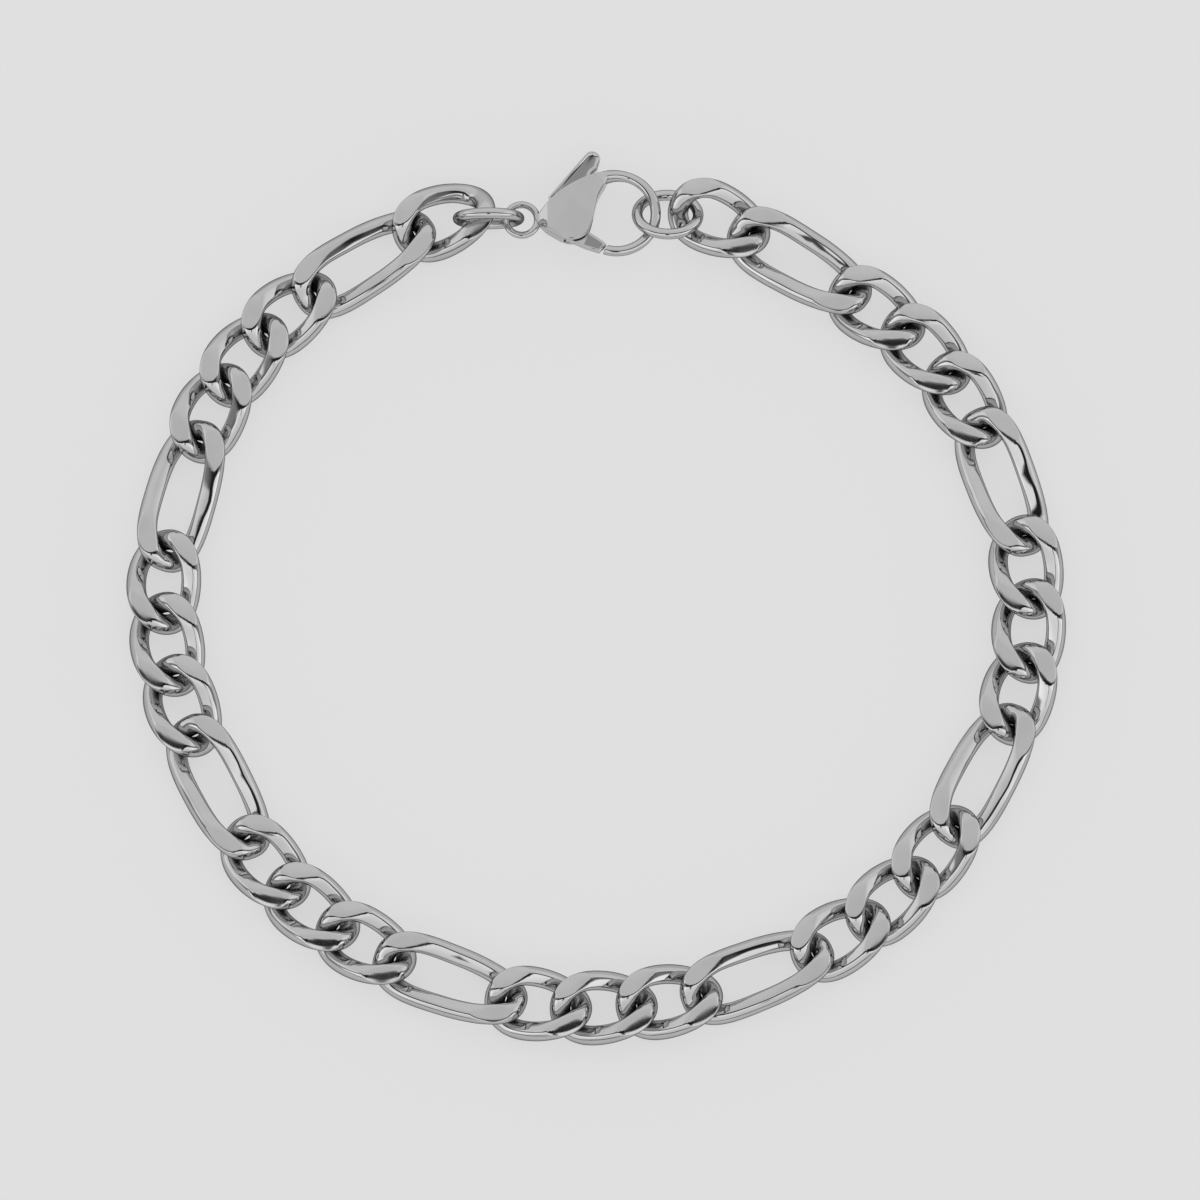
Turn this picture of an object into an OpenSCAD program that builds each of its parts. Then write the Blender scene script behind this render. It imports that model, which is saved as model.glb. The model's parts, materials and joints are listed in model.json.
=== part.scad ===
// A figaro link bracelet of polished steel, laid in a closed loop on a flat surface.
// Three short links follow each long one, and a lobster clasp with two jump rings closes the loop.
// +X runs to the clasp's hook end, +Y from the middle of the loop to the clasp, +Z up.
// The origin is at the bottom centre of the whole bracelet.

/* [Links] */
// Length of a short link over its ends
short_l = 8.71; // [8:0.01:10]
// Width of a short link
short_w = 6.05; // [5.7:0.05:6.8]
// Length of a long link over its ends
long_l = 12.95; // [11:0.05:15]
// Width of a long link
long_w = 5.9; // [5.6:0.05:6.6]
// Bluntness of a short link's ends, where 2 is an ellipse
short_blunt = 2.1; // [2:0.05:2.3]
// Bluntness of a long link's ends, where 2 is an ellipse
long_blunt = 2.6; // [2.3:0.05:2.8]
// Diameter of the round wire that the links are bent from
wire_d = 1.6; // [1.3:0.05:1.75]
// Depth of steel ground off a link's corners, above and below
ground_off = 0.33; // [0.2:0.01:0.5]
// Clearance where the end of one link pulls against the next
pull_gap = 0.2; // [0.15:0.01:0.35]
// Clearance where the sides of two links cross
cross_gap = 0.25; // [0.2:0.01:0.4]

/* [Chain] */
// Long links in the chain
long_links = 8; // [6:1:10]
// Short links between two long ones
shorts_between = 3; // [2:1:4]
// Angle that each end link is raised by, to ride over its jump ring
end_tilt = 4; // [3:0.5:5]

/* [Jump rings] */
// Outer diameter of a jump ring
ring_od = 5.85; // [5.6:0.05:6.6]
// Wire diameter of a jump ring
ring_wire_d = 0.88; // [0.7:0.02:0.95]
// Free play of the first link's end inside the eye's jump ring
first_link_play = 0.95; // [0.8:0.05:1]
// Free play of the last link's end inside the hook's jump ring
last_link_play = 0.3; // [0.25:0.05:0.6]
// Angle that the eye's jump ring leans from upright
eye_ring_lean = 5; // [2:1:8]
// Angle that the hook's jump ring slopes from the surface
hook_ring_slope = 35; // [33:1:40]

/* [Clasp] */
// Distance from the middle of the clasp's eye to the middle of its hook
clasp_reach = 7.74; // [7.2:0.02:8.6]
// Width of the clasp's body across the reach
clasp_w = 5.8; // [5.4:0.1:6.4]
// Thickness of the clasp's body between its flat faces
clasp_t = 2; // [1.8:0.1:2.6]
// Outer diameter of the hook
hook_od = 7.2; // [6.8:0.1:7.6]
// Wire diameter of the hook
hook_wire_d = 0.84; // [0.7:0.02:0.95]
// Diameter of the hole in the eye
eye_hole_d = 2; // [1.9:0.05:2.4]
// Wire diameter of the eye
eye_wire_d = 0.57; // [0.45:0.01:0.65]
// Angle that the clasp leans towards its hook
clasp_lean = 1; // [0:0.5:1.5]

/* [Lever] */
// Thickness of the lever
lever_t = 0.8; // [0.6:0.05:1]
// Clearance between the lever and each side of its slot
lever_gap = 0.1; // [0.08:0.01:0.15]
// Diameter of the hinge pin
pin_d = 0.8; // [0.6:0.05:0.9]
// Radius of the lever's round middle, about the pin
hub_r = 0.8; // [0.7:0.02:0.9]
// Radial running clearance of the pin in the lever
pin_gap = 0.05; // [0.03:0.01:0.08]
// Radial clearance of the pin in the body
pin_seat_gap = 0.02; // [0.01:0.005:0.03]
// Angle that the lever opens by
lever_open = 25; // [15:1:28]
// Clearance between the gate's nose and the tip of the hook
nose_gap = 0.12; // [0.1:0.01:0.2]

/* [Hidden] */
steel = [0.72, 0.72, 0.73];
ring_steel = [0.62, 0.62, 0.63];
lever_steel = [0.56, 0.56, 0.57];

// Pitch of a link, and how far its end wire reaches past the junction
short_pitch = short_l - 2 * wire_d - pull_gap;
long_pitch = long_l - 2 * wire_d - pull_gap;
end_reach = (wire_d + pull_gap) / 2;
overhang = wire_d + pull_gap / 2;

// Height of a link's corners: two crossing sides lie this share of it from the middle
cross_share = 0.9;
twist_rise = (wire_d + cross_gap) / (2 * cross_share);

// Thickness of a link between its two ground faces
ground_t = 2 * (twist_rise + wire_d / 2 - ground_off);

// Sections along a link and sides round its wire
link_sections = 16;
wire_sides = 6;

// Order of the links, counter-clockwise from the clasp's eye: one short, one long, then the rest
link_step = shorts_between + 1;
link_count = long_links * link_step - shorts_between + 2;
function is_long(i) = i % link_step == 1;
function pitch_of(i) = is_long(i) ? long_pitch : short_pitch;
junction_at = [for (i = 0, s = 0; i <= link_count; s = s + pitch_of(i), i = i + 1) s];
chain_l = junction_at[link_count];

// Jump rings and clasp, seen along the line from the first junction to the last
ring_r = (ring_od - ring_wire_d) / 2;
short_half_w = (short_w - wire_d) / 2;
ring_reach = ring_od / 2 - ring_wire_d + end_reach - wire_d / 2;
eye_ring_z = ring_r * cos(eye_ring_lean) + ring_wire_d / 2;
hook_ring_z = ring_r * sin(hook_ring_slope) + ring_wire_d / 2;
eye_r = (eye_hole_d + eye_wire_d) / 2;
hook_r = (hook_od - hook_wire_d) / 2;
eye_ring_play = 0.35;
hook_ring_play = 0.65;
eye_ring_pos = [ring_reach - first_link_play, -short_half_w / 2, eye_ring_z];
eye_pos = [
    eye_ring_pos[0] + ring_r + (eye_hole_d - ring_wire_d) / 2 - eye_ring_play,
    eye_ring_pos[1] + ring_r / 3 * sin(eye_ring_lean),
    eye_ring_z - ring_r / 3
];
hook_end_x = eye_pos[0] + clasp_reach * cos(clasp_lean) + hook_r;
hook_ring_pos = [
    hook_end_x + ring_od / 2 - ring_wire_d - hook_wire_d / 2 - hook_ring_play,
    -short_half_w / 4,
    hook_ring_z
];
hook_ring_yaw = -2;
closing_l = hook_ring_pos[0] + ring_reach - last_link_play;

// Route of the chain in plan, from the hook's end of the clasp over the eye's end and round the loop
route = [
    [5.9, 33.2],
    [-8.4, 33.1],
    [-20, 27.9],
    [-29.6, 19.2],
    [-34.8, 5],
    [-34.3, -6.5],
    [-28.9, -19.1],
    [-21, -27.3],
    [-9.3, -32.6],
    [0.5, -33.8],
    [12.6, -31.4],
    [24.9, -23.8],
    [33.9, -8.4],
    [34.2, 6],
    [27.8, 19.7],
    [17.2, 27.7]
];
route_steps = 12;

// A smooth closed curve through a list of points
function between(a, b, c, d, t) =
    (2 * b + (c - a) * t + (2 * a - 5 * b + 4 * c - d) * t * t
    + (3 * b - a - 3 * c + d) * t * t * t) / 2;
function smooth_loop(p, steps) = [
    for (i = [0:len(p) - 1])
        for (k = [0:steps - 1])
            between(
                p[(i + len(p) - 1) % len(p)],
                p[i],
                p[(i + 1) % len(p)],
                p[(i + 2) % len(p)],
                k / steps
            )
];
function arc(centre, r, from, to, steps) = [
    for (k = [0:steps])
        centre + r * [cos(from + (to - from) * k / steps), sin(from + (to - from) * k / steps)]
];

// The route as a fine line, with the length reached at each of its points
open_line = smooth_loop(route, route_steps);
line = concat(open_line, [open_line[0]]);
reached = [
    for (i = 0, s = 0; i < len(line); s = s + norm(line[min(i + 1, len(line) - 1)] - line[i]), i = i + 1) s
];
route_x = [for (i = [0:len(line) - 1]) [reached[i], line[i][0]]];
route_y = [for (i = [0:len(line) - 1]) [reached[i], line[i][1]]];
route_l = reached[len(line) - 1];

// The route is scaled so that the chain and the clasp just close it
gap_arc = reached[route_steps];
gap_bow = gap_arc / norm(line[route_steps] - line[0]);
route_scale = (chain_l + closing_l * gap_bow) / route_l;
function wrap(s) = s - route_l * floor(s / route_l);
function on_route(s) = route_scale * [lookup(wrap(s), route_x), lookup(wrap(s), route_y)];
junction = [
    for (i = [0:link_count])
        on_route(gap_arc / 2 + (closing_l * gap_bow / 2 + junction_at[i]) / route_scale)
];
function heading(i) = atan2(
    junction[i + 1][1] - junction[i][1],
    junction[i + 1][0] - junction[i][0]
);

// The clasp's line from the first junction to the last, with the clasp in its middle
closing = junction[link_count] - junction[0];
closing_angle = atan2(closing[1], closing[0]);
closing_start = junction[0] + closing * (1 - closing_l / norm(closing)) / 2;

// A link lies along X, middle at the origin: its inner side is high at the start, low at the end
function blunted(v, blunt) = sign(v) * pow(abs(v), 2 / blunt);
function link_point(l, w, blunt, t) = [
    (l - wire_d) / 2 * blunted(cos(t), blunt),
    (w - wire_d) / 2 * blunted(sin(t), blunt),
    -twist_rise * sin(2 * t)
];
function unit(v) = v / norm(v);
function link_ring(l, w, blunt, t) =
    let (
        along = unit(link_point(l, w, blunt, t + 1) - link_point(l, w, blunt, t - 1)),
        out = unit([along[1], -along[0], 0]),
        up = cross(out, along)
    )
    [
        for (j = [0:wire_sides - 1])
            link_point(l, w, blunt, t)
            + wire_d / 2 * (cos(360 * j / wire_sides) * out + sin(360 * j / wire_sides) * up)
    ];

// Bottom centre of the whole bracelet, from the links' edges and the thumb of the lever
function outer_line(i) =
    let (
        l = is_long(i) ? long_l : short_l,
        w = is_long(i) ? long_w : short_w,
        blunt = is_long(i) ? long_blunt : short_blunt,
        a = heading(i)
    )
    [
        for (t = [0:360 / link_sections:359])
            let (p = link_point(l, w, blunt, t))
            (junction[i] + junction[i + 1]) / 2
            + [p[0] * cos(a) - p[1] * sin(a), p[0] * sin(a) + p[1] * cos(a)]
    ];
chain_edge = [for (i = [0:link_count - 1]) each outer_line(i)];
low_x = min([for (p = chain_edge) p[0]]) - wire_d / 2;
high_x = max([for (p = chain_edge) p[0]]) + wire_d / 2;
low_y = min([for (p = chain_edge) p[1]]) - wire_d / 2;

// Outline of the clasp's body about the eye: shares of the reach, shares of the width
body_outline = [
    [0.165, -0.055],
    [0.3, -0.19],
    [0.49, -0.31],
    [0.66, -0.265],
    [0.73, -0.085],
    [0.8, 0.3],
    [0.895, 0.545],
    [0.92, 0.69],
    [0.65, 0.59],
    [0.37, 0.36],
    [0.165, 0.06]
];
body_steps = 4;
function clasp_point(share) = [share[0] * clasp_reach, share[1] * clasp_w];
hook_centre = [clasp_reach, 0.1 * clasp_w];
hook_root_angle = 122;
hook_tip_angle = -108;

// Lever: its hinge, the gate's nose, the thumb and the back of its web, in the same shares
pivot = clasp_point([0.465, -0.103]);
nose_low = clasp_point([0.818, -0.476]);
nose_angle = 49;
nose_l = 0.85;
gate_low = clasp_point([0.67, -0.414]);
gate_high = clasp_point([0.718, -0.19]);
gate_tip = clasp_point([0.853, -0.31]);
thumb_centre = clasp_point([0.74, 0.88]);
thumb_r = 0.66;
thumb_side = clasp_point([0.795, 0.74]);
thumb_root = clasp_point([0.74, 0.68]);
web_back = clasp_point([0.297, 0.36]);
slot_t = lever_t + 2 * lever_gap;
slot_hub_r = hub_r + 2 * lever_gap;
thumb_top_y = closing_start[1] + eye_pos[1] + thumb_centre[1] + thumb_r;
origin = [(low_x + high_x) / 2, (low_y + thumb_top_y) / 2];

// Taper of the body's faces down to the eye and to the hook's root
neck_taper_l = 1.1;
root_taper_l = 1.1;
pin_skin = 0.2;
pin_end_gap = 0.05;
fine = 48;
far = 20;

function two_digits(n) = n < 10 ? str("0", n) : str(n);
function link_name(i) = str(is_long(i) ? "long_link_" : "short_link_", two_digits(i + 1));
LINKS = [for (i = [0:link_count - 1]) link_name(i)];

// One link: an oval of round wire, twisted, then ground flat above and below
module link_shape(l, w, blunt) {
    rings = [for (k = [0:link_sections - 1]) link_ring(l, w, blunt, 360 * k / link_sections)];
    points = [for (ring = rings) each ring];
    faces = [
        for (k = [0:link_sections - 1])
            for (j = [0:wire_sides - 1])
                let (
                    a = k * wire_sides + j,
                    b = k * wire_sides + (j + 1) % wire_sides,
                    c = ((k + 1) % link_sections) * wire_sides + (j + 1) % wire_sides,
                    d = ((k + 1) % link_sections) * wire_sides + j
                )
                each [[a, b, c], [a, c, d]]
    ];
    intersection() {
        polyhedron(points, faces);
        cube([2 * l, 2 * w, ground_t], center = true);
    }
}

module placed(i) {
    middle = (junction[i] + junction[i + 1]) / 2 - origin;
    translate([middle[0], middle[1], ground_t / 2])
        rotate([0, 0, heading(i)])
            children();
}

// The two links at each end turn up about their inner junction, just clear of the surface there
next_tilt = asin(overhang * sin(end_tilt) / (long_pitch + overhang));
module raised(i) {
    from_end = min(i, link_count - 1 - i);
    tilt = from_end == 0 ? end_tilt : from_end == 1 ? next_tilt : 0;
    side = i == from_end ? 1 : -1;
    inner = side * pitch_of(i) / 2;
    translate([inner, 0, overhang * sin(tilt)])
        rotate([0, side * tilt, 0])
            translate([-inner, 0, 0])
                children();
}

module link(i) {
    color(steel)
        placed(i)
            raised(i)
                if (is_long(i)) link_shape(long_l, long_w, long_blunt);
                else link_shape(short_l, short_w, short_blunt);
}

module on_closing_line() {
    translate([closing_start[0] - origin[0], closing_start[1] - origin[1], 0])
        rotate([0, 0, closing_angle])
            children();
}

module wire_ring(r, wire) {
    rotate_extrude($fn = fine)
        translate([r, 0])
            circle(d = wire, $fn = fine);
}

module eye_ring() {
    color(ring_steel)
        on_closing_line()
            translate(eye_ring_pos)
                rotate([90 + eye_ring_lean, 0, 0])
                    wire_ring(ring_r, ring_wire_d);
}

module hook_ring() {
    color(ring_steel)
        on_closing_line()
            translate(hook_ring_pos)
                rotate([-hook_ring_slope, 0, hook_ring_yaw])
                    wire_ring(ring_r, ring_wire_d);
}

module on_clasp() {
    on_closing_line()
        translate(eye_pos)
            rotate([0, clasp_lean, 0])
                children();
}

// The part of the slot that a sector about the pivot clears
module slot_sector(from, to) {
    linear_extrude(slot_t, center = true)
        polygon(concat([pivot], arc(pivot, far, from, to, 4)));
}

module body_plate() {
    linear_extrude(clasp_t, center = true)
        polygon(smooth_loop([for (share = body_outline) clasp_point(share)], body_steps));
}

// A wedge above and below the plate, thinning it from a line towards its far end
module taper(at, angle, l, thin) {
    slope = atan2((clasp_t - thin) / 2, l);
    for (side = [0, 1])
        mirror([0, 0, side])
            translate([at[0], at[1], clasp_t / 2])
                rotate([0, 0, angle])
                    rotate([0, slope, 0])
                        translate([0, -far / 2, 0])
                            cube([far, far, far]);
}

// The hook's wire, cut off square to the way the gate closes
module hook() {
    difference() {
        translate([hook_centre[0], hook_centre[1], 0])
            rotate([0, 0, hook_tip_angle])
                rotate_extrude(angle = hook_root_angle - hook_tip_angle, $fn = fine)
                    translate([hook_r, 0])
                        circle(d = hook_wire_d, $fn = fine);
        translate([nose_low[0], nose_low[1], 0])
            rotate([0, 0, nose_angle])
                translate([-hook_r / 2, -nose_gap, -far / 2])
                    cube([hook_r, hook_r, far]);
    }
}

module clasp_body() {
    color(steel)
        on_clasp()
            difference() {
                union() {
                    difference() {
                        body_plate();
                        taper(clasp_point([0.27, 0]), 180, neck_taper_l, eye_wire_d);
                        taper(clasp_point([0.8, 0.6]), 20, root_taper_l, hook_wire_d);
                        slot_sector(-95, 20);
                        slot_sector(58, 156);
                        translate([pivot[0], pivot[1], 0])
                            cylinder(r = slot_hub_r, h = slot_t, center = true, $fn = fine);
                    }
                    wire_ring(eye_r, eye_wire_d);
                    hook();
                }
                translate([pivot[0], pivot[1], -clasp_t])
                    cylinder(
                        d = pin_d + 2 * pin_seat_gap,
                        h = 1.5 * clasp_t - pin_skin,
                        $fn = fine
                    );
            }
}

module clasp_lever() {
    nose_high = nose_low + nose_l * [cos(nose_angle), sin(nose_angle)];
    outline = concat(
        [nose_low, nose_high, gate_tip, gate_high],
        arc(pivot, hub_r, -12, 66, 6),
        [thumb_root, thumb_side],
        arc(thumb_centre, thumb_r, -10, 140, 10),
        [web_back],
        arc(pivot, hub_r, 124, 250, 8),
        [gate_low]
    );
    color(lever_steel)
        on_clasp()
            difference() {
                linear_extrude(lever_t, center = true)
                    polygon(outline);
                translate([pivot[0], pivot[1], 0])
                    cylinder(d = pin_d + 2 * pin_gap, h = 2 * lever_t, center = true, $fn = fine);
            }
}

module hinge_pin() {
    color(ring_steel)
        on_clasp()
            translate([pivot[0], pivot[1], pin_end_gap - clasp_t / 2])
                cylinder(d = pin_d, h = clasp_t - pin_skin - 2 * pin_end_gap, $fn = fine);
}

for (i = [0:link_count - 1])
    link(i);
eye_ring();
hook_ring();
clasp_body();
clasp_lever();
hinge_pin();
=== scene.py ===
"""A figaro link bracelet in polished steel, laid in a closed loop on a pale table."""

import json
import math

import bmesh
import bpy
from mathutils import Matrix, Vector


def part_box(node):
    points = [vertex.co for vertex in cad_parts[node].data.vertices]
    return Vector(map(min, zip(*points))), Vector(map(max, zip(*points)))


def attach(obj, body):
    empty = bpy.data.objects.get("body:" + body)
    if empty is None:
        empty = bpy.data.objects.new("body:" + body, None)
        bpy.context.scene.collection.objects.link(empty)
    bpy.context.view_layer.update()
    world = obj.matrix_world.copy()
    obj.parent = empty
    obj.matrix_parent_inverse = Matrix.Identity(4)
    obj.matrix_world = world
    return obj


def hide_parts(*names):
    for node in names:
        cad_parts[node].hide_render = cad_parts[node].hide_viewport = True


bl_info = {
    "name": "Figaro Link Bracelet",
    "version": (1, 0, 0),
    "blender": (4, 5, 0),
    "location": "3D View > Sidebar > Bracelet",
    "description": "Builds the links, jump rings and lobster clasp of a figaro bracelet",
    "category": "Add Mesh",
}

MM = 0.001
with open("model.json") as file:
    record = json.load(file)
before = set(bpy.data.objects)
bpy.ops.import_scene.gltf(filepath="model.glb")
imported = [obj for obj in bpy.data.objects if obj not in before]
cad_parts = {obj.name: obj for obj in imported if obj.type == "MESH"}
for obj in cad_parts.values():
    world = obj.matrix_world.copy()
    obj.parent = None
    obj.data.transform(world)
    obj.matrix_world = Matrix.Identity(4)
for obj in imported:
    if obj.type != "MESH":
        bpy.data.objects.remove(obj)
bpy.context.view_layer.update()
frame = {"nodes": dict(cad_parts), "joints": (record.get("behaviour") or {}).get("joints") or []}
nodes = frame["nodes"]
lever_hinge = frame["joints"][0]


class ChainSizes(bpy.types.PropertyGroup):
    """Sizes of the links"""

    wire: bpy.props.FloatProperty(
        name="Wire", description="Diameter of the links' wire", default=1.6 * MM, unit="LENGTH"
    )
    ground_off: bpy.props.FloatProperty(
        name="Ground off",
        description="Depth of steel ground off a link's corners, above and below",
        default=0.33 * MM,
        unit="LENGTH",
    )
    rise: bpy.props.FloatProperty(
        name="Rise",
        description="Height of a link's corners over its middle plane",
        default=1.02778 * MM,
        unit="LENGTH",
    )
    short_width: bpy.props.FloatProperty(
        name="Short width", description="Width of a short link", default=6.05 * MM, unit="LENGTH"
    )
    short_blunt: bpy.props.FloatProperty(
        name="Short bluntness",
        description="Bluntness of a short link's ends, where 2 is an ellipse",
        default=2.1,
    )
    long_width: bpy.props.FloatProperty(
        name="Long width", description="Width of a long link", default=5.9 * MM, unit="LENGTH"
    )
    long_blunt: bpy.props.FloatProperty(
        name="Long bluntness",
        description="Bluntness of a long link's ends, where 2 is an ellipse",
        default=2.6,
    )
    edge: bpy.props.FloatProperty(
        name="Edge",
        description="Softness of the edges of a ground face",
        default=0.06 * MM,
        unit="LENGTH",
    )
    buffed: bpy.props.FloatProperty(
        name="Buffing",
        description="Softness of the run from a ground face down along its wire",
        default=0.06 * MM,
        unit="LENGTH",
    )
    spread: bpy.props.FloatProperty(
        name="Spread",
        description="How far pressing has spread the wire inward at a link's ends",
        default=0.08 * MM,
        unit="LENGTH",
    )
    strip: bpy.props.FloatProperty(
        name="Strip",
        description="Depth of the buffed strip that runs on from a ground face",
        default=0.15 * MM,
        unit="LENGTH",
    )
    crown: bpy.props.FloatProperty(
        name="Crown",
        description="Angle that the outer part of a ground face leans outward",
        default=math.radians(16),
        subtype="ANGLE",
    )
    crown_start: bpy.props.FloatProperty(
        name="Crown start",
        description="How far inside the wire's middle the outer part begins",
        default=0.22 * MM,
        unit="LENGTH",
    )
    long_crown: bpy.props.FloatProperty(
        name="Long crown",
        description="The same angle on a long link, whose faces are flatter",
        default=math.radians(5),
        subtype="ANGLE",
    )
    roll: bpy.props.FloatProperty(
        name="Strip roll",
        description="Angle that the buffed strip leans towards the middle of the link",
        default=math.radians(24),
        subtype="ANGLE",
    )


class ClaspSizes(bpy.types.PropertyGroup):
    """Sizes of the lobster clasp and the jump rings"""

    reach: bpy.props.FloatProperty(
        name="Reach",
        description="From the middle of the eye to the middle of the hook",
        default=7.74 * MM,
        unit="LENGTH",
    )
    width: bpy.props.FloatProperty(
        name="Width", description="Width of the body", default=5.8 * MM, unit="LENGTH"
    )
    thick: bpy.props.FloatProperty(
        name="Thickness", description="Thickness of the body", default=2.0 * MM, unit="LENGTH"
    )
    slot: bpy.props.FloatProperty(
        name="Slot", description="Width of the lever's slot", default=1.0 * MM, unit="LENGTH"
    )
    lever: bpy.props.FloatProperty(
        name="Lever", description="Thickness of the lever", default=0.8 * MM, unit="LENGTH"
    )
    hook: bpy.props.FloatProperty(
        name="Hook", description="Outer diameter of the hook", default=7.2 * MM, unit="LENGTH"
    )
    hook_wire: bpy.props.FloatProperty(
        name="Hook wire",
        description="Diameter of the hook's wire",
        default=0.84 * MM,
        unit="LENGTH",
    )
    eye_hole: bpy.props.FloatProperty(
        name="Eye hole", description="Diameter of the eye's hole", default=2.0 * MM, unit="LENGTH"
    )
    eye_wire: bpy.props.FloatProperty(
        name="Eye wire", description="Diameter of the eye's wire", default=0.57 * MM, unit="LENGTH"
    )
    ring: bpy.props.FloatProperty(
        name="Jump ring",
        description="Outer diameter of a jump ring",
        default=5.85 * MM,
        unit="LENGTH",
    )
    ring_wire: bpy.props.FloatProperty(
        name="Jump ring wire",
        description="Wire diameter of a jump ring",
        default=0.88 * MM,
        unit="LENGTH",
    )


class SteelFinish(bpy.types.PropertyGroup):
    """Colours and gloss of the steel"""

    bright: bpy.props.FloatVectorProperty(
        name="Bright steel",
        description="Colour of the polished steel",
        default=(0.58, 0.58, 0.585),
        subtype="COLOR",
        size=3,
    )
    cloud: bpy.props.FloatVectorProperty(
        name="Clouded steel",
        description="Colour of the steel where handling has dulled it",
        default=(0.54, 0.54, 0.545),
        subtype="COLOR",
        size=3,
    )
    # Painted shade: the lever's dished faces get this dark colour in place of the shade that falls
    # in them.
    recess_shade: bpy.props.FloatVectorProperty(
        name="Recess",
        description="Colour of the steel in the lever's dished faces",
        default=(0.3, 0.3, 0.3),
        subtype="COLOR",
        size=3,
    )
    polish: bpy.props.FloatProperty(
        name="Polish", description="Roughness of the round wire", default=0.06
    )
    grind: bpy.props.FloatProperty(
        name="Grind", description="Roughness of the ground faces", default=0.14
    )


class TableSetting(bpy.types.PropertyGroup):
    """The table, the light and the camera"""

    tilt: bpy.props.FloatProperty(
        name="Camera tilt",
        description="Angle of the camera from straight above",
        default=math.radians(14),
        subtype="ANGLE",
    )
    view: bpy.props.FloatProperty(
        name="View width", description="Width of the picture", default=97.2 * MM, unit="LENGTH"
    )
    distance: bpy.props.FloatProperty(
        name="Distance", description="From the camera to the bracelet", default=1.2, unit="LENGTH"
    )
    table: bpy.props.FloatVectorProperty(
        name="Table",
        description="Colour of the table",
        default=(0.74, 0.74, 0.74),
        subtype="COLOR",
        size=3,
    )


class Socket:
    """A shader socket that takes part in arithmetic"""

    def __init__(self, shade, link):
        self.shade = shade
        self.link = link

    def __add__(self, other):
        return self.shade.math("ADD", self, other)

    def __radd__(self, other):
        return self.shade.math("ADD", other, self)

    def __mul__(self, other):
        return self.shade.math("MULTIPLY", self, other)

    def __rmul__(self, other):
        return self.shade.math("MULTIPLY", other, self)


class Shade:
    """Adds nodes to one node tree"""

    def __init__(self, tree):
        self.tree = tree
        tree.nodes.clear()

    def node(self, kind, settings=None, output=0, **sockets):
        """Adds a node. A socket goes by its name, or by its number as in i0."""
        node = self.tree.nodes.new(kind)
        for name, value in (settings or {}).items():
            setattr(node, name, value)
        for name, value in sockets.items():
            number = name[0] == "i" and name[1:].isdigit()
            socket = node.inputs[int(name[1:]) if number else name.replace("_", " ")]
            if isinstance(value, Socket):
                self.tree.links.new(value.link, socket)
            else:
                socket.default_value = value
        return Socket(self, node.outputs[output]) if node.outputs else node

    def math(self, operation, first, second):
        return self.node("ShaderNodeMath", {"operation": operation}, i0=first, i1=second)

    def dot(self, first, second):
        return self.node(
            "ShaderNodeVectorMath", {"operation": "DOT_PRODUCT"}, output=1, i0=first, i1=second
        )

    def step(self, value, low, high, start=0.0, end=1.0):
        """Goes softly from start to end while the value goes from low to high"""
        return self.node(
            "ShaderNodeMapRange",
            {"interpolation_type": "SMOOTHSTEP"},
            Value=value,
            From_Min=low,
            From_Max=high,
            To_Min=start,
            To_Max=end,
        )

    def mix(self, share, first, second):
        """Mixes two colours, by a share from 0 to 1"""
        return self.node(
            "ShaderNodeMix", {"data_type": "RGBA"}, output=2, i0=share, i6=first, i7=second
        )


def rgba(colour):
    """A colour with full alpha"""
    return (*colour, 1.0)


# Size of the clouds and the fine marks on the steel, and what a narrow corner does to it: painted
# shade that darkens its colour there, and more roughness.
CLOUD_SCALE = 320.0
MARK_SCALE = 2600.0
MARK_TURN = math.radians(35)
MARK_DEPTH = 0.01 * MM
CORNER_REACH = 0.8 * MM
CORNER_SHADE_TONE = 0.22
CORNER_ROUGHNESS = 0.34


def steel(name, bright, cloud, roughness, stretch, scratch, rim=0.15):
    """Steel whose gloss and colour vary a little, with fine marks drawn out along one way.

    It has painted shade where other steel is near, which darkens its colour there, and it is
    rougher there.
    The rim is the tint of its reflection at a grazing angle.
    """
    material = bpy.data.materials.new(name)
    material.use_nodes = True
    shade = Shade(material.node_tree)
    place = shade.node("ShaderNodeTexCoord", output=3)
    drawn = shade.node(
        "ShaderNodeMapping", i0=place, Scale=stretch, Rotation=(0.0, 0.0, MARK_TURN)
    )
    handled = shade.node("ShaderNodeTexNoise", i0=place, Scale=CLOUD_SCALE, Detail=3.0)
    marks = shade.node("ShaderNodeTexNoise", i0=drawn, Scale=MARK_SCALE, Detail=4.0)
    dull = shade.step(handled, 0.4, 0.68)
    clear = shade.node(
        "ShaderNodeAmbientOcclusion", {"samples": 8}, output=1, Distance=CORNER_REACH
    )
    worn = shade.mix(dull * 0.7 + marks * 0.3, rgba(bright), rgba(cloud))
    # Painted shade: the colour goes dark where the ambient occlusion finds other steel near.
    corner = rgba([c * CORNER_SHADE_TONE for c in cloud])
    colour = shade.mix(shade.step(clear, 0.05, 0.55), corner, worn)
    rough = dull * (roughness * 0.35) + marks * (roughness * 0.4) + roughness * 0.7
    rough = rough + shade.step(clear, 0.15, 0.6, CORNER_ROUGHNESS, 0.0)
    relief = shade.node("ShaderNodeBump", Strength=scratch, Distance=MARK_DEPTH, Height=marks)
    surface = shade.node(
        "ShaderNodeBsdfPrincipled",
        Base_Color=colour,
        Metallic=1.0,
        Roughness=rough,
        Specular_Tint=(rim, rim, rim, 1.0),
        Normal=relief,
    )
    shade.node("ShaderNodeOutputMaterial", Surface=surface)


# The third finish paints shade into the lever's dished faces.
FINISHES = ("polished_wire", "ground_face", "lever_recess_shade", "cast_side")
WIRE, GROUND, RECESS_SHADE, CAST = range(len(FINISHES))


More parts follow.
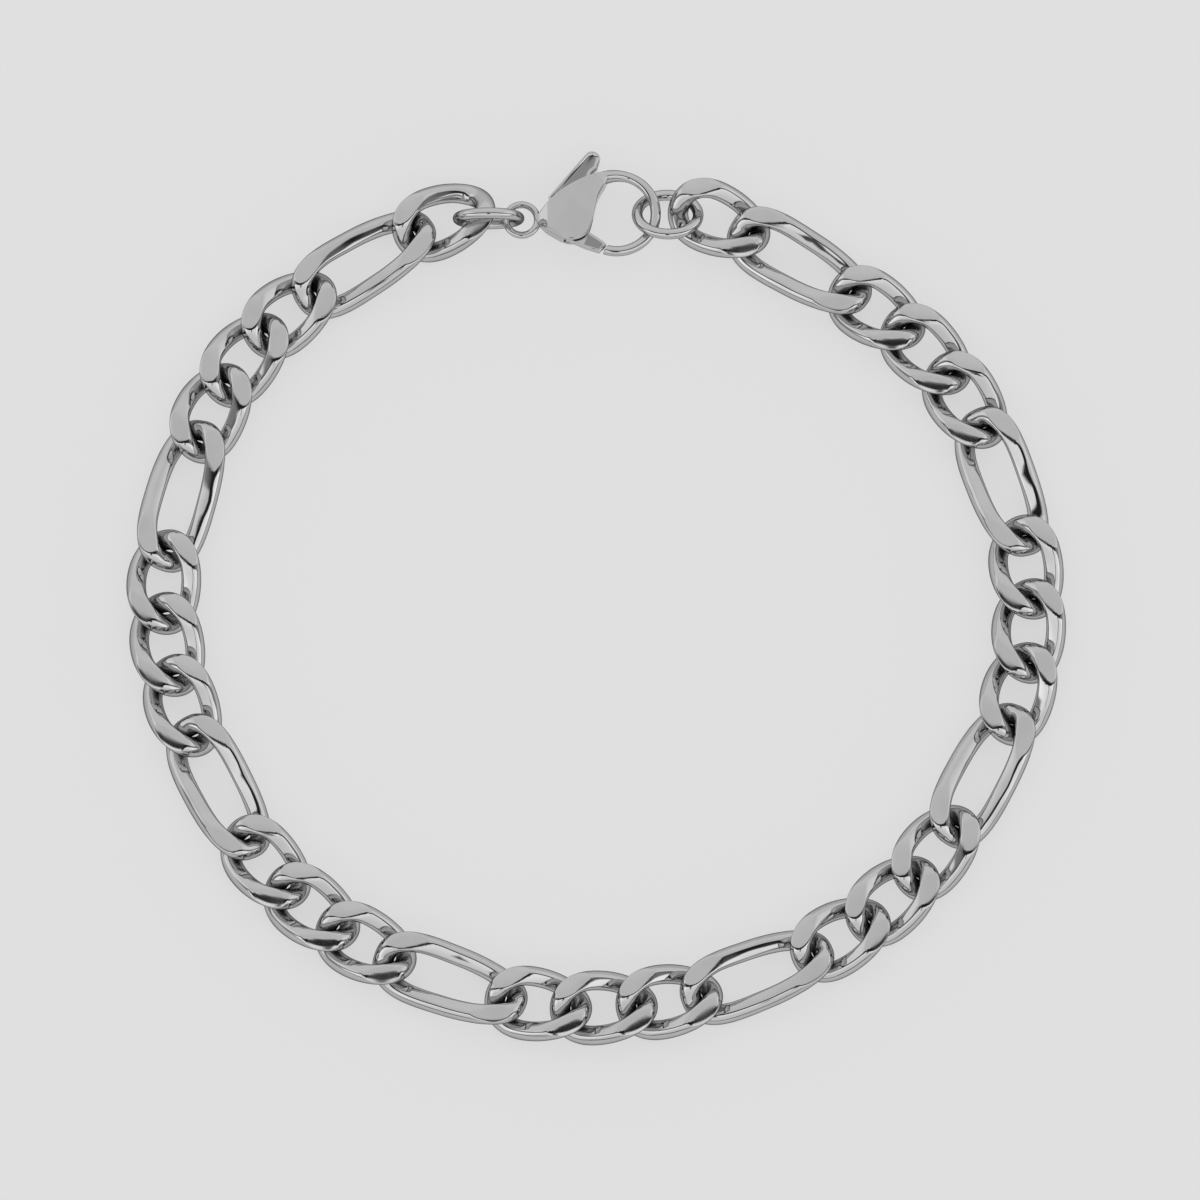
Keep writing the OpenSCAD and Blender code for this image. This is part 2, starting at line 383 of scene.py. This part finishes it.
def steels(finish):
    """The finishes of the bracelet in the order of their slots, made once"""
    made = bpy.data.materials
    if "polished_wire" not in made:
        even = (1.0, 1.0, 1.0)
        drawn = (1.0, 0.12, 1.0)
        steel("polished_wire", finish.bright, finish.cloud, finish.polish, even, 0.05)
        steel("ground_face", finish.bright, finish.cloud, finish.grind, drawn, 0.12)
        steel("lever_recess_shade", finish.recess_shade, finish.recess_shade, finish.grind, even, 0.1)
        steel("cast_side", finish.bright, finish.cloud, finish.polish, even, 0.05, rim=0.8)
    return [made[name] for name in FINISHES]


def piece(name, bm, place, body, finish):
    """Turns a finished mesh into a piece that rides on a body"""
    bmesh.ops.recalc_face_normals(bm, faces=bm.faces[:])
    mesh = bpy.data.meshes.new(name)
    bm.to_mesh(mesh)
    bm.free()
    mesh.transform(place)
    made = bpy.data.objects.new(name, mesh)
    bpy.context.scene.collection.objects.link(made)
    for material in steels(finish):
        mesh.materials.append(material)
    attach(made, body)
    return made


def round_wire(bm, mean, wire, section, steps, middle=(0, 0, 0), start=0.0, sweep=math.tau):
    """Spins round wire about the Z axis through a middle, closed where the turn is a full one"""
    place = (
        Matrix.Translation(middle)
        @ Matrix.Rotation(start, 4, "Z")
        @ Matrix.Translation((mean, 0, 0))
        @ Matrix.Rotation(math.pi / 2, 4, "X")
    )
    ring = bmesh.ops.create_circle(bm, segments=section, radius=wire / 2, matrix=place)
    bmesh.ops.spin(
        bm,
        geom=ring["verts"] + bm.edges[:],
        cent=middle,
        axis=(0, 0, 1),
        angle=sweep,
        steps=steps,
        use_merge=sweep == math.tau,
    )


def corners(node):
    """The points of a node's solid"""
    return [Vector(v.co) for v in nodes[node].data.vertices]


# Cosines of the angles within which faces count as level, or as pointing the same way.
LEVEL = 0.99
DEAD_LEVEL = 0.999
SAME_WAY = 0.9999


def link_place(node):
    """Where a link lies, as its middle, long axis and the way up of its faces, and its length"""
    points = corners(node)
    start = max(points, key=lambda p: (p - points[0]).length)
    end = max(points, key=lambda p: (p - start).length)
    start = max(points, key=lambda p: (p - end).length)
    level = [face for face in nodes[node].data.polygons if abs(face.normal.z) > LEVEL]
    seed = max(level, key=lambda face: face.area).normal.copy()
    up = Vector()
    for face in level:
        if abs(face.normal @ seed) > SAME_WAY:
            up += face.normal * math.copysign(face.area, face.normal.z)
    along = (end - start).normalized()
    side = up.cross(along).normalized()
    turn = Matrix((along, side, along.cross(side))).transposed().to_4x4()
    return Matrix.Translation((start + end) / 2) @ turn, (end - start).length


def blunted(value, blunt):
    """A cosine or sine changed so that the ellipse that it draws gets blunter ends"""
    return math.copysign(abs(value) ** (2 / blunt), value)


def softer(first, second, blur):
    """The lower of two heights, with a soft run from one to the other"""
    low = min(first, second)
    return low - blur * math.log(math.exp((low - first) / blur) + math.exp((low - second) / blur))


def half_angle(height, radius):
    """How far from its top a round section meets a flat at a height"""
    return math.acos(max(-1.0, min(1.0, height / radius)))


# The turn angle of a link's high corner, how the strip's depth goes down past it, and the least
# angle from a section's top to the edge of its flats.
HIGH_CORNER = 0.75 * math.pi
STRIP_END = 0.1
STRIP_FADE = 3.0
LEAST_RIM = 0.35


class Cut:
    """What grinding and buffing leave of one side of a round section.

    The ground face is level on its inner part and leans outward on its outer part, and a buffed
    strip runs on from it down the side of the link. The strip ends before the low corner, and
    fades out soon on the other side of the high one, at the link's end.
    """

    def __init__(self, sizes, crown, level, turned):
        past = (HIGH_CORNER - turned + math.pi / 2) % math.pi - math.pi / 2
        depth = math.cos(past) - STRIP_END + STRIP_FADE * min(0.0, past)
        self.radius = sizes.wire / 2
        self.level = level
        self.crown = crown
        self.outer = (level - sizes.crown_start * math.tan(crown)) * math.cos(crown)
        self.strip = self.radius - sizes.strip * depth
        self.roll = sizes.roll
        self.edge = sizes.edge
        self.buffed = sizes.buffed

    def is_ground(self):
        """Whether the ground face reaches this section"""
        return self.level < self.radius * 0.9

    def height(self, across, round_height):
        """How high the steel is left, from the round wire's own height there"""
        outer = (self.outer - across * math.sin(self.crown)) / math.cos(self.crown)
        strip = (self.strip + across * math.sin(self.roll)) / math.cos(self.roll)
        ground = softer(self.level, outer, self.buffed)
        return softer(round_height, softer(ground, strip, self.buffed), self.edge)

    def rim(self, side):
        """How far from the section's top the edge of its flats lies, on its outer or inner side"""
        if side > 0:
            ground = self.crown + half_angle(self.outer, self.radius)
        else:
            ground = half_angle(self.level, self.radius)
        strip = half_angle(self.strip, self.radius) - side * self.roll
        return max(ground, strip, LEAST_RIM)


# Points round a wire and along it, and where a section's points lie by the rim of a flat.
SECTION = 32
STEPS = 96
FLAT_STEPS = 2
RIM_STEPS = (-0.17, -0.06, 0.05, 0.17)


def section_angle(step, top_rim, low_rim):
    """Where a point of a section lies, with most points along the rims of its flats"""
    half = SECTION // 2
    last_rim = FLAT_STEPS + len(RIM_STEPS) - 1
    if step > half / 2:
        return math.pi - section_angle(half - step, low_rim, top_rim)
    if step < FLAT_STEPS:
        return step / FLAT_STEPS * (top_rim + RIM_STEPS[0])
    if step <= last_rim:
        return top_rim + RIM_STEPS[step - FLAT_STEPS]
    first = top_rim + RIM_STEPS[-1]
    last = math.pi - low_rim - RIM_STEPS[-1]
    return first + (last - first) * (step - last_rim) / (half - 2 * last_rim)


def end_share(turn):
    """1 round a link's ends, 0 along its sides and in between near the corners"""
    return min(1.0, max(0.0, 3 * abs(math.cos(turn)) - 1.2))


NEXT_TURN = 0.01  # how far apart two turn angles are, to find the way of the line


def ground_wire(bm, line, sizes, crown):
    """A closed wire along a line, ground flat above and below, with soft edges.

    It starts as a round wire spun in a full turn. Each turn angle is a place on the line, and the
    section's points are shared out so that the edges of the ground faces run along the mesh.
    """
    radius = sizes.wire / 2
    ground = sizes.rise + radius - sizes.ground_off
    hub = 10 * sizes.wire
    round_wire(bm, hub, sizes.wire, SECTION, STEPS)
    flats = set()
    for v in bm.verts:
        turn = math.atan2(v.co.y, v.co.x)
        lean = math.atan2(math.hypot(v.co.x, v.co.y) - hub, v.co.z)
        index = round(lean / math.tau * SECTION)
        middle = line(turn)
        along = (line(turn + NEXT_TURN) - line(turn - NEXT_TURN)).normalized()
        out = Vector((along.y, -along.x, 0.0)).normalized()
        up = out.cross(along)
        top = Cut(sizes, crown, (ground - middle.z) / up.z, turn)
        low = Cut(sizes, crown, (ground + middle.z) / up.z, -turn)
        side = math.copysign(1, index)
        step = abs(index)
        angle = section_angle(step, top.rim(side), low.rim(side))
        across = radius * math.sin(angle) * side
        if angle < math.pi / 2:
            height = top.height(across, radius * math.cos(angle))
        else:
            height = -low.height(across, -radius * math.cos(angle))
        for cut, steps in ((top, step), (low, SECTION // 2 - step)):
            if steps < FLAT_STEPS and cut.is_ground():
                flats.add(v)
        if side < 0:
            across *= 1 + sizes.spread * end_share(turn) / radius
        v.co = middle + out * across + up * height
    for face in bm.faces:
        face.smooth = True
        face.material_index = GROUND if flats & set(face.verts) else WIRE


def link(node, sizes, finish):
    """One link of the chain, in place of its solid"""
    place, length = link_place(node)
    long = node.startswith("long")
    width = sizes.long_width if long else sizes.short_width
    blunt = sizes.long_blunt if long else sizes.short_blunt

    def line(turn):
        return Vector(
            (
                (length - sizes.wire) / 2 * blunted(math.cos(turn), blunt),
                (width - sizes.wire) / 2 * blunted(math.sin(turn), blunt),
                -sizes.rise * math.sin(2 * turn),
            )
        )

    bm = bmesh.new()
    ground_wire(bm, line, sizes, sizes.long_crown if long else sizes.crown)
    made = piece(f"{node}_wire", bm, place, "bracelet", finish)
    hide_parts(node)


class BRACELET_OT_links(bpy.types.Operator):
    """Makes every link of the chain from ground wire"""

    bl_idname = "bracelet.links"
    bl_label = "Links"

    def execute(self, context):
        scene = context.scene
        for node in sorted(nodes):
            if "_link_" in node:
                link(node, scene.chain_sizes, scene.steel_finish)
        return {"FINISHED"}


def ring_axis(node):
    """The way a jump ring's axis points, from its own solid"""
    points = corners(node)
    middle = sum(points, Vector()) / len(points)
    far = max(points, key=lambda p: (p - middle).length) - middle
    other = max(points, key=lambda p: (p - middle).cross(far).length) - middle
    return far.cross(other).normalized()


class BRACELET_OT_rings(bpy.types.Operator):
    """Makes the two jump rings"""

    bl_idname = "bracelet.rings"
    bl_label = "Jump rings"

    def execute(self, context):
        scene = context.scene
        sizes = scene.clasp_sizes
        for node in ("eye_ring", "hook_ring"):
            low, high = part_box(node)
            turn = ring_axis(node).to_track_quat("Z", "Y").to_matrix().to_4x4()
            place = Matrix.Translation((low + high) / 2) @ turn
            bm = bmesh.new()
            mean = (sizes.ring - sizes.ring_wire) / 2
            round_wire(bm, mean, sizes.ring_wire, section=20, steps=STEPS)
            for face in bm.faces:
                face.smooth = True
            made = piece(f"{node}_wire", bm, place, "bracelet", scene.steel_finish)
            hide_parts(node)
        return {"FINISHED"}


# Points of the clasp as shares of its reach and of its width, from the middle of the eye, and
# angles from the way to the hook. The neck's angles are in degrees.
BODY_OUTLINE = (
    (0.165, -0.055),
    (0.3, -0.19),
    (0.49, -0.31),
    (0.66, -0.265),
    (0.73, -0.085),
    (0.8, 0.3),
    (0.895, 0.545),
    (0.92, 0.69),
    (0.65, 0.59),
    (0.37, 0.36),
    (0.165, 0.06),
)
PIVOT = (0.465, -0.103)
TAPER_START = (0.29, 0.0)
HOOK_MIDDLE = (1.0, 0.1)
HOOK_ROOT = math.radians(122)
HOOK_GROWS = math.radians(70)
HOOK_TIP = math.radians(-108)
HOOK_TAPER = math.radians(118)
GATE_TIP = (0.818, -0.476)
GATE_BACK = ((0.853, -0.31), (0.718, -0.19))
GATE_LOW = (0.67, -0.414)
GATE_CREASE = (0.665, -0.3)
GATE_LEAN = math.radians(49)
THUMB_INSIDE = ((0.74, 0.68), (0.795, 0.74))
THUMB_TIP = (0.74, 0.88)
THUMB_OUTSIDE = ((0.279, 0.325), (0.304, 0.25))
NECK_START = 156
NECK_END = 268
ROOT_LOW = math.radians(20)
ROOT_HIGH = math.radians(58)

# Sizes of the castings' details. A cut snaps to points that are nearer than SNAP.
SNAP = 0.0005 * MM
RIM = 0.28 * MM
LEVER_RIM = 0.18 * MM
HOOK_TIP_RIM = 0.06 * MM
GATE_GAP = 0.12 * MM
LEAST_WALL = 0.12 * MM
HUB = 0.8 * MM
HUB_HOLLOW = 1.0 * MM
LOW_WEB = 1.2 * MM
ROOT_HOLLOW = 1.1 * MM
GATE_WIDTH = 0.85 * MM
THUMB_CREASE = 1.0 * MM
THUMB_ROUND = 0.66 * MM
DISH_DEPTH = 0.06 * MM
NEAR_TIP = 1.2 * MM
BROAD = 2 * MM * MM
HOOK_WIDER = 0.45
HOOK_THICKER = 1.2


def share(sizes, at):
    """A point of the clasp from its shares of the reach and of the width"""
    return Vector((at[0] * sizes.reach, at[1] * sizes.width, 0.0))


def heading(angle):
    """The way that an angle points in the clasp's plane"""
    return Vector((math.cos(angle), math.sin(angle), 0.0))


def left_of(way):
    """A way turned a quarter turn to the left"""
    return Vector((-way.y, way.x, 0.0))


def arc(centre, radius, start, end, steps):
    """Points on an arc between two angles in degrees"""
    angles = [math.radians(start + (end - start) * k / steps) for k in range(steps + 1)]
    return [centre + radius * heading(angle) for angle in angles]


def smooth_loop(points, steps):
    """A smooth closed curve through points"""
    made = []
    count = len(points)
    for i in range(count):
        a, b, c, d = (points[(i + k) % count] for k in (-1, 0, 1, 2))
        for k in range(steps):
            t = k / steps
            bend = (2 * a - 5 * b + 4 * c - d) * t * t + (3 * b - a - 3 * c + d) * t**3
            made.append((2 * b + (c - a) * t + bend) / 2)
    return made


def clasp_place(sizes):
    """The clasp's frame: the eye's middle, X to the hook, Z along the lever's hinge"""
    up = Vector(lever_hinge["axis"]).normalized()
    along = (Vector((1.0, 0.0, 0.0)) - up * up.x).normalized()
    turn = Matrix((along, up.cross(along), up)).transposed()
    start = Vector(lever_hinge["pos_m"]) - turn @ share(sizes, PIVOT)
    return Matrix.Translation(start) @ turn.to_4x4()


def round_over(bm, edges, size, segments):
    """Rounds edges off"""
    bmesh.ops.bevel(
        bm,
        geom=edges,
        offset=size,
        offset_type="OFFSET",
        segments=segments,
        profile=0.5,
        affect="EDGES",
        material=-1,
        clamp_overlap=True,
    )


def plate(outline, low, high, soft_low=0.0, soft_high=0.0):
    """A cast plate from an outline, with its rims rounded"""
    bm = bmesh.new()
    base = bm.faces.new([bm.verts.new((p.x, p.y, low)) for p in outline])
    raised = bmesh.ops.extrude_face_region(bm, geom=[base])
    lifted = [v for v in raised["geom"] if isinstance(v, bmesh.types.BMVert)]
    bmesh.ops.translate(bm, verts=lifted, vec=(0, 0, high - low))
    top = [f for f in raised["geom"] if isinstance(f, bmesh.types.BMFace)][0]
    for face, soft in ((base, soft_low), (top, soft_high)):
        if soft:
            round_over(bm, face.edges[:], soft, 3)
    for face in bm.faces:
        face.material_index = CAST
    return bm


def slice_through(bm, at, away, faces=None, drop=False):
    """Cuts all faces or some with a plane, and gives the edges along the cut"""
    if faces is None:
        geom = bm.verts[:] + bm.edges[:] + bm.faces[:]
    else:
        verts = dict.fromkeys(v for f in faces for v in f.verts)
        edges = dict.fromkeys(e for f in faces for e in f.edges)
        geom = list(verts) + list(edges) + faces
    cut = bmesh.ops.bisect_plane(
        bm, geom=geom, dist=SNAP, plane_co=at, plane_no=away, clear_outer=drop
    )
    return [e for e in cut["geom_cut"] if isinstance(e, bmesh.types.BMEdge)]


def keep_side(bm, at, away, faces=None):
    """Cuts with a plane, drops what lies past it and closes the cut"""
    rim = slice_through(bm, at, away, faces, drop=True)
    bmesh.ops.holes_fill(bm, edges=rim, sides=0)
    return rim


def join(bm, other):
    """Adds another mesh to this one and frees it"""
    held = bpy.data.meshes.new("held")
    other.to_mesh(held)
    other.free()
    bm.from_mesh(held)
    bpy.data.meshes.remove(held)


def hook_wire(sizes):
    """The hook, thicker and flatter where it leaves the body, cut off where the gate closes"""
    bm = bmesh.new()
    centre = share(sizes, HOOK_MIDDLE)
    mean = (sizes.hook - sizes.hook_wire) / 2
    turn = {"start": HOOK_TIP, "sweep": HOOK_ROOT - HOOK_TIP}
    round_wire(bm, mean, sizes.hook_wire, section=24, steps=72, middle=centre, **turn)
    bmesh.ops.holes_fill(bm, edges=[e for e in bm.edges if e.is_boundary], sides=0)
    bmesh.ops.recalc_face_normals(bm, faces=bm.faces[:])
    for v in bm.verts:
        offset = v.co - centre
        angle = math.atan2(offset.y, offset.x)
        grown = max(0.0, (angle - HOOK_GROWS) / (HOOK_ROOT - HOOK_GROWS))
        across = Vector((offset.x, offset.y, 0.0))
        spread = (across.length - mean) * (1 + HOOK_WIDER * grown**1.5)
        across = across.normalized() * (mean + spread)
        v.co = centre + Vector((across.x, across.y, offset.z * (1 + HOOK_THICKER * grown)))
    away = left_of(heading(GATE_LEAN))
    tip = [f for f in bm.faces if f.calc_center_median().y < -0.3 * sizes.width]
    rim = keep_side(bm, share(sizes, GATE_TIP) - away * GATE_GAP, away, tip)
    round_over(bm, [e for e in rim if e.is_valid], HOOK_TIP_RIM, 2)
    return bm


def thin_out(bm, sizes, start, toward, run, least):
    """Thins the body past a point, in a soft curve down to a share of its thickness.

    The outer faces come in. The slot keeps its width for the lever, as long as its walls are
    thick enough.
    """
    cuts = 10
    for cut in range(cuts):
        slice_through(bm, start + toward * run * cut / cuts, toward)
    for v in bm.verts:
        past = min(1.0, max(0.0, (v.co - start) @ toward / run))
        thin = 1 - (1 - least) * past * past * (3 - 2 * past)
        if abs(v.co.z) > sizes.slot * 0.501:
            v.co.z *= thin
        else:
            slot = sizes.thick / 2 * thin - LEAST_WALL
            v.co.z = math.copysign(min(abs(v.co.z), slot), v.co.z)


def tapered(bm, sizes):
    """Thins a part of the body towards the eye and towards the hook"""
    eye_way = Vector((-1.0, 0.0, 0.0))
    run = 0.13 * sizes.reach
    thin_out(bm, sizes, share(sizes, TAPER_START), eye_way, run, least=0.4)
    root = heading(HOOK_TAPER)
    start = share(sizes, HOOK_MIDDLE) + (sizes.hook - sizes.hook_wire) / 2 * root
    run = 0.12 * sizes.reach
    thin_out(bm, sizes, start, -left_of(root), run, least=0.68)
    return bm


def neck(sizes, outline):
    """Fills the slot at the eye's end, up to where the lever's hub turns"""
    slot = sizes.slot / 2
    pivot = share(sizes, PIVOT)
    wall = []
    for point in outline:
        from_pivot = math.degrees(math.atan2(point.y - pivot.y, point.x - pivot.x)) % 360
        if NECK_START < from_pivot < NECK_END:
            wall.append(point)
    first = max(range(len(wall)), key=lambda i: (wall[i] - wall[i - 1]).length)
    wall = wall[first:] + wall[:first]
    hollow = arc(pivot, HUB_HOLLOW, NECK_END, NECK_START, 12)
    return tapered(plate(wall + hollow, -slot, slot), sizes)


def hook_root(sizes, outline):
    """Fills the slot at the hook's end, between the lever's thumb and its gate"""
    slot = sizes.slot / 2
    pivot = share(sizes, PIVOT)
    bm = plate(outline, -slot, slot)
    keep_side(bm, pivot, -left_of(heading(ROOT_LOW)))
    keep_side(bm, pivot, left_of(heading(ROOT_HIGH)))
    toward = heading((ROOT_LOW + ROOT_HIGH) / 2)
    keep_side(bm, pivot + toward * ROOT_HOLLOW, -toward)
    return bm


def casting(name, bm, scene, body):
    """Puts a finished part of the clasp in its place, shaded so that broad faces look flat"""
    made = piece(name, bm, clasp_place(scene.clasp_sizes), body, scene.steel_finish)
    soften = made.modifiers.new("even_faces", "WEIGHTED_NORMAL")
    soften.weight = 60
    soften.keep_sharp = True
    return made


class BRACELET_OT_clasp(bpy.types.Operator):
    """Makes the lobster clasp's body with its eye and its hook"""

    bl_idname = "bracelet.clasp"
    bl_label = "Clasp body"

    def execute(self, context):
        sizes = context.scene.clasp_sizes
        outline = smooth_loop([share(sizes, at) for at in BODY_OUTLINE], 8)
        half = sizes.thick / 2
        slot = sizes.slot / 2
        bm = bmesh.new()
        join(bm, tapered(plate(outline, slot, half, soft_high=RIM), sizes))
        join(bm, tapered(plate(outline, -half, -slot, soft_low=RIM), sizes))
        join(bm, neck(sizes, outline))
        join(bm, hook_root(sizes, outline))
        eye = bmesh.new()
        mean = (sizes.eye_hole + sizes.eye_wire) / 2
        round_wire(eye, mean, sizes.eye_wire, section=16, steps=64)
        join(bm, eye)
        join(bm, hook_wire(sizes))
        for face in bm.faces:
            broad = face.calc_area() > BROAD
            face.smooth = not broad
            if broad:
                face.material_index = GROUND
        made = casting("clasp_casting", bm, context.scene, "bracelet")
        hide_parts("clasp_body")
        return {"FINISHED"}


def lever_outline(sizes):
    """The gate, the hub's front, the thumb, the hub's back and the web under the gate"""
    pivot = share(sizes, PIVOT)
    tip = share(sizes, GATE_TIP)
    return (
        [tip, tip + GATE_WIDTH * heading(GATE_LEAN)]
        + [share(sizes, at) for at in GATE_BACK]
        + arc(pivot, HUB, -12, 66, 6)
        + [share(sizes, at) for at in THUMB_INSIDE]
        + arc(share(sizes, THUMB_TIP), THUMB_ROUND, -10, 140, 12)
        + [share(sizes, at) for at in THUMB_OUTSIDE]
        + arc(pivot, HUB, 124, 262, 8)
        + arc(pivot, LOW_WEB, 272, 279, 1)
        + [share(sizes, GATE_LOW)]
    )


def broad_pair(bm, chosen):
    """The largest level face above and below, of those whose middle has a chosen Y"""
    level = [f for f in bm.faces if abs(f.normal.z) > DEAD_LEVEL]
    level = [f for f in level if chosen(f.calc_center_median().y)]
    return sorted(level, key=lambda f: f.calc_area())[-2:]


def press_in(bm, faces, rim, depth):
    """Presses faces in by a depth and leaves a sloping rim, both in millimetres"""
    bmesh.ops.inset_region(
        bm, faces=faces, thickness=rim * MM, depth=-depth * MM, use_even_offset=True
    )


class BRACELET_OT_lever(bpy.types.Operator):
    """Makes the clasp's lever with its thumb piece and its gate"""

    bl_idname = "bracelet.lever"
    bl_label = "Lever"

    def execute(self, context):
        sizes = context.scene.clasp_sizes
        pivot = share(sizes, PIVOT)
        tip = share(sizes, GATE_TIP)
        half = sizes.lever / 2
        bm = plate(lever_outline(sizes), -half, half, LEVER_RIM, LEVER_RIM)
        for face in bm.faces:
            face.smooth = True
        crease = pivot + Vector((0.0, THUMB_CREASE, 0.0))
        slice_through(bm, crease, Vector((-0.35, 0.94, 0.0)))
        slice_through(bm, share(sizes, GATE_CREASE), Vector((0.94, -0.35, 0.0)))
        thumb = broad_pair(bm, lambda y: y > pivot.y + NEAR_TIP)
        press_in(bm, thumb, 0.04, 0.03)
        press_in(bm, thumb, 0.06, 0.05)
        press_in(bm, thumb, 0.12, 0.05)
        dish = bmesh.ops.poke(bm, faces=thumb, offset=-DISH_DEPTH)["faces"]
        gate = broad_pair(bm, lambda y: y < tip.y + NEAR_TIP)
        press_in(bm, gate, 0.07, 0.03)
        # Painted shade: the thumb's dish and the gate's pressed faces take the dark recess finish.
        for face in dish + gate:
            face.material_index = RECESS_SHADE
        made = casting("lever_casting", bm, context.scene, "lever")
        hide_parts("clasp_lever")
        return {"FINISHED"}


class BRACELET_OT_pin(bpy.types.Operator):
    """Gives the hinge pin its finish"""

    bl_idname = "bracelet.pin"
    bl_label = "Hinge pin"

    def execute(self, context):
        mesh = nodes["hinge_pin"].data
        mesh.materials.clear()
        mesh.materials.append(steels(context.scene.steel_finish)[WIRE])
        return {"FINISHED"}


def studio(setting):
    """Soft light from all round: grey behind, bright in front, and the camera's own dark place.

    A direction goes by three sines: how far it lies behind the way to the camera, how high it is,
    and how far to one side.
    """
    world = bpy.data.worlds.new("studio")
    world.use_nodes = True
    shade = Shade(world.node_tree)
    way = shade.node("ShaderNodeTexCoord", output=0)
    behind = shade.dot(way, (0.0, math.cos(setting.tilt), math.sin(setting.tilt)))
    height = shade.dot(way, (0.0, 0.0, 1.0))
    aside = shade.math("ABSOLUTE", shade.dot(way, (1.0, 0.0, 0.0)), 0.0)
    back = shade.step(behind, 0.1, 0.2, 0.0, 0.75) + shade.step(behind, 0.5, 0.9, 0.0, 0.08)
    two_boxes = shade.step(aside, 0.04, 0.13, 0.06, 1.0)
    one_box = shade.step(behind, -0.4, -0.5)
    boxes = shade.math("MAXIMUM", two_boxes, one_box) * shade.step(behind, -0.2, -0.75, 1.15, 0.85)
    front = shade.step(behind, -0.1, -0.18) * shade.step(height, 0.05, 0.2, 0.12, 1.0)
    sides = shade.step(aside, 0.6, 0.95, 0.02, 0.3)
    light = back + front * boxes + sides
    sky = shade.node("ShaderNodeBackground", Color=(1.0, 1.0, 1.0, 1.0), Strength=light)
    shade.node("ShaderNodeOutputWorld", Surface=sky)
    bpy.context.scene.world = world


TABLE_SIZE = 2.0
TABLE_DROP = 0.02 * MM
TABLE_SHADE = 0.3
TABLE_GLOW = 0.787


def table_paint(setting):
    """A pale matt table that hardly shows shadows, because most of its light is its own"""
    material = bpy.data.materials.new("table")
    material.use_nodes = True
    shade = Shade(material.node_tree)
    matt = shade.node(
        "ShaderNodeBsdfPrincipled",
        Base_Color=rgba([c * TABLE_SHADE for c in setting.table]),
        Roughness=1.0,
        Specular_IOR_Level=0.0,
        Emission_Color=rgba(setting.table),
        Emission_Strength=TABLE_GLOW,
    )
    shade.node("ShaderNodeOutputMaterial", Surface=matt)
    return material


FILM_WIDTH = 36
AIM = Vector((0.3243, -0.343, 1.498)) * MM


def view_from(setting):
    """The camera, tilted back from straight above"""
    camera = bpy.data.cameras.new("camera")
    camera.sensor_width = FILM_WIDTH
    camera.lens = FILM_WIDTH * setting.distance / setting.view
    camera.clip_end = 10
    away = Vector((0.0, -math.sin(setting.tilt), math.cos(setting.tilt)))
    seen = bpy.data.objects.new("camera", camera)
    seen.location = AIM + away * setting.distance
    seen.rotation_euler = (setting.tilt, 0.0, 0.0)
    return seen


class BRACELET_OT_stage(bpy.types.Operator):
    """Sets the table, the studio light and the camera"""

    bl_idname = "bracelet.stage"
    bl_label = "Stage"

    def execute(self, context):
        scene = context.scene
        setting = scene.table_setting
        bm = bmesh.new()
        bmesh.ops.create_grid(bm, x_segments=1, y_segments=1, size=TABLE_SIZE)
        mesh = bpy.data.meshes.new("table")
        bm.to_mesh(mesh)
        bm.free()
        mesh.transform(Matrix.Translation((0, 0, -TABLE_DROP)))
        mesh.materials.append(table_paint(setting))
        table = bpy.data.objects.new("table", mesh)
        scene.collection.objects.link(table)
        studio(setting)
        scene.camera = view_from(setting)
        scene.collection.objects.link(scene.camera)
        scene.view_settings.view_transform = "Standard"
        return {"FINISHED"}


class BRACELET_PT_panel(bpy.types.Panel):
    """Lists the bracelet's pieces and sizes"""

    bl_idname = "BRACELET_PT_panel"
    bl_label = "Bracelet"
    bl_space_type = "VIEW_3D"
    bl_region_type = "UI"
    bl_category = "Bracelet"

    def draw(self, context):
        for group in GROUPS:
            settings = getattr(context.scene, group)
            for name in type(settings).__annotations__:
                self.layout.prop(settings, name)
        for operator in OPERATORS:
            self.layout.operator(operator.bl_idname)


GROUPS = {
    "chain_sizes": ChainSizes,
    "clasp_sizes": ClaspSizes,
    "steel_finish": SteelFinish,
    "table_setting": TableSetting,
}
OPERATORS = (
    BRACELET_OT_stage,
    BRACELET_OT_links,
    BRACELET_OT_rings,
    BRACELET_OT_clasp,
    BRACELET_OT_lever,
    BRACELET_OT_pin,
)


def register():
    for cls in (*GROUPS.values(), *OPERATORS, BRACELET_PT_panel):
        bpy.utils.register_class(cls)
    for name, group in GROUPS.items():
        setattr(bpy.types.Scene, name, bpy.props.PointerProperty(type=group))


def unregister():
    for name in GROUPS:
        delattr(bpy.types.Scene, name)
    for cls in reversed((*GROUPS.values(), *OPERATORS, BRACELET_PT_panel)):
        bpy.utils.unregister_class(cls)


def main():
    register()
    bpy.ops.bracelet.stage()
    bpy.ops.bracelet.links()
    bpy.ops.bracelet.rings()
    bpy.ops.bracelet.clasp()
    bpy.ops.bracelet.lever()
    bpy.ops.bracelet.pin()


if __name__ == "__main__":
    main()
